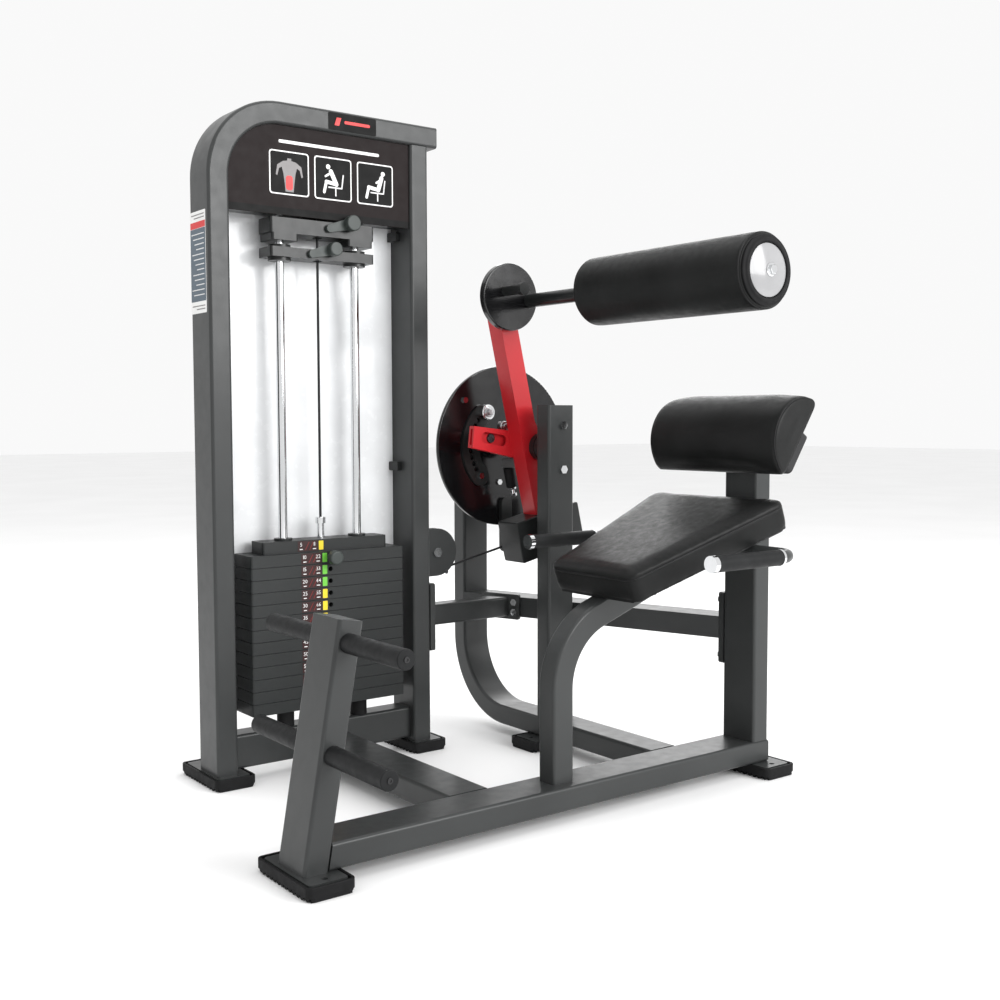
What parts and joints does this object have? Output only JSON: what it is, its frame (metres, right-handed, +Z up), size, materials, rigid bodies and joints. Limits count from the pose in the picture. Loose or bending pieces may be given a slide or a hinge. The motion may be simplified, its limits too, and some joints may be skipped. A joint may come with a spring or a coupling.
{
  "type": "ab crunch machine",
  "caption": "Selectorised ab crunch machine: weight stack tower, sloped seat and back pad, swinging arm with padded chest roller, cam disk, cable drive and foot bars.",
  "frame": {"origin": "on the floor under the middle of the whole machine's box", "axes": "+Z up; +X points behind the seated user, who faces -X; +Y points from the user to the weight tower"},
  "size_m": [1.261, 1.124, 1.528],
  "materials": {
    "frame_paint": "satin dark grey powder coat",
    "disk_paint": "glossy black paint",
    "arm_paint": "saturated red powder coat",
    "plate_paint": "satin charcoal paint",
    "chrome_steel": "polished chrome",
    "plain_steel": "zinc plated steel",
    "black_vinyl": "fine-grained black upholstery",
    "board_black": "black laminated board",
    "foot_rubber": "matt dark rubber",
    "grip_rubber": "dark grey moulded rubber",
    "shield_white": "thin glossy pale sheet",
    "placard_black": null,
    "pulley_black": "black nylon",
    "cable_black": "black coated wire cable",
    "cap_white": "glossy off-white moulding",
    "knob_grey": "mid grey moulded knob"
  },
  "bodies": {
    "frame": {"back_board": "board_black", "back_pad": "black_vinyl", "bent_rear_frame": "frame_paint", "cross_beam": "frame_paint", "foot_bars": "frame_paint", "foot_grips": "grip_rubber", "foot_stand": "frame_paint", "frame_bolts": "plain_steel", "grip_caps": "chrome_steel", "guide_rods": "chrome_steel", "hand_grips": "grip_rubber", "handle_bar": "frame_paint", "lower_weight_plates": "plate_paint", "pivot_bearings": "plate_paint", "pivot_post": "frame_paint", "placard": "placard_black", "pulley_brackets": "frame_paint", "rear_brace": "frame_paint", "rear_post": "frame_paint", "rear_shield": "shield_white", "rod_bumpers": "foot_rubber", "rod_hanger": "plate_paint", "rubber_feet": "foot_rubber", "seat_base_tube": "frame_paint", "seat_board": "board_black", "seat_leg": "frame_paint", "seat_pad": "black_vinyl", "shield_clips": "placard_black", "tower_base_beam": "frame_paint", "tower_bent_tube": "frame_paint", "tower_brace": "frame_paint", "tower_cable": "cable_black", "tower_right_upright": "frame_paint"},
    "cam": {"pivot_shaft": "plain_steel", "cam_disk": "disk_paint", "index_plate": "plate_paint", "cable_lug": "plate_paint", "cam_bolts": "chrome_steel", "lever_cable": "cable_black"},
    "arm": {"swing_arm": "arm_paint", "arm_hub": "plate_paint", "counterweight": "plate_paint", "guard_plate": "disk_paint", "roller_bar": "plain_steel"},
    "pull_pin": {"pull_pin": "plain_steel", "pin_spring": "plain_steel"},
    "chest_roller": {"chest_roller": "black_vinyl", "roller_end_cap": "cap_white"},
    "carriage": {"top_weight_plate": "plate_paint", "head_plate": "plate_paint", "selector_rod": "chrome_steel", "stack_cable": "cable_black"},
    "selector_pin": {"selector_pin": "knob_grey"},
    "add_on_lower": {"add_on_weight_lower": "plate_paint"},
    "add_on_upper": {"add_on_weight_upper": "plate_paint"},
    "add_on_lever_lower": {"add_on_lever_lower": "knob_grey"},
    "add_on_lever_upper": {"add_on_lever_upper": "knob_grey"},
    "top_pulley_left": {"top_pulley_left": "pulley_black"},
    "top_pulley_right": {"top_pulley_right": "pulley_black"},
    "low_pulley": {"low_pulley": "pulley_black"}
  },
  "joints": [
    {"name": "cam_swing", "type": "hinge", "parent": "frame", "child": "cam", "pos_m": [0.354, 0, 0.751], "axis": [0, -1, 0], "range_deg": [0, 50], "deforming": ["lever_cable"]},
    {"name": "start_position", "type": "hinge", "parent": "cam", "child": "arm", "pos_m": [0.354, 0, 0.751], "axis": [0, -1, 0], "range_deg": [-26.4, 8.8]},
    {"name": "pull_pin_slide", "type": "slide", "parent": "arm", "child": "pull_pin", "axis": [0, 1, 0], "range_m": [0, 0.0065], "deforming": ["pin_spring"]},
    {"name": "roller_spin", "type": "hinge", "parent": "arm", "child": "chest_roller", "pos_m": [0.308, -0.275, 1.113], "axis": [0, 1, 0], "continuous": true},
    {"name": "stack_lift", "type": "slide", "parent": "frame", "child": "carriage", "axis": [0, 0, 1], "range_m": [0, 0.22], "deforming": ["stack_cable"]},
    {"name": "selector_pull", "type": "slide", "parent": "carriage", "child": "selector_pin", "axis": [0, -1, 0], "range_m": [0, 0.075]},
    {"name": "add_on_lower_slide", "type": "slide", "parent": "add_on_upper", "child": "add_on_lower", "axis": [0, 0, -1], "range_m": [0, 0.18]},
    {"name": "add_on_upper_slide", "type": "slide", "parent": "frame", "child": "add_on_upper", "axis": [0, 0, -1], "range_m": [0, 0.18]},
    {"name": "add_on_lower_lock", "type": "hinge", "parent": "add_on_lower", "child": "add_on_lever_lower", "pos_m": [-0.232, 0.335, 1.198], "axis": [0, 1, 0], "range_deg": [0, 25]},
    {"name": "add_on_upper_lock", "type": "hinge", "parent": "add_on_upper", "child": "add_on_lever_upper", "pos_m": [-0.186, 0.335, 1.259], "axis": [0, 1, 0], "range_deg": [0, 25]},
    {"name": "top_pulley_left_spin", "type": "hinge", "parent": "frame", "child": "top_pulley_left", "pos_m": [-0.151, 0.37285, 1.413], "axis": [0, 1, 0], "range_deg": [0, 262]},
    {"name": "top_pulley_right_spin", "type": "hinge", "parent": "frame", "child": "top_pulley_right", "pos_m": [0.012, 0.38015, 1.413], "axis": [0, 1, 0], "range_deg": [0, 262]},
    {"name": "low_pulley_spin", "type": "hinge", "parent": "frame", "child": "low_pulley", "pos_m": [0.129, 0.381, 0.487], "axis": [0, -1, 0], "range_deg": [0, 262]}
  ],
  "couplings": [
    {"joint": "stack_lift", "follows": "cam_swing", "m_per_rad": 0.25},
    {"joint": "top_pulley_left_spin", "follows": "cam_swing", "ratio": 5.2083},
    {"joint": "top_pulley_right_spin", "follows": "cam_swing", "ratio": 5.2083},
    {"joint": "low_pulley_spin", "follows": "cam_swing", "ratio": 5.2083}
  ]
}
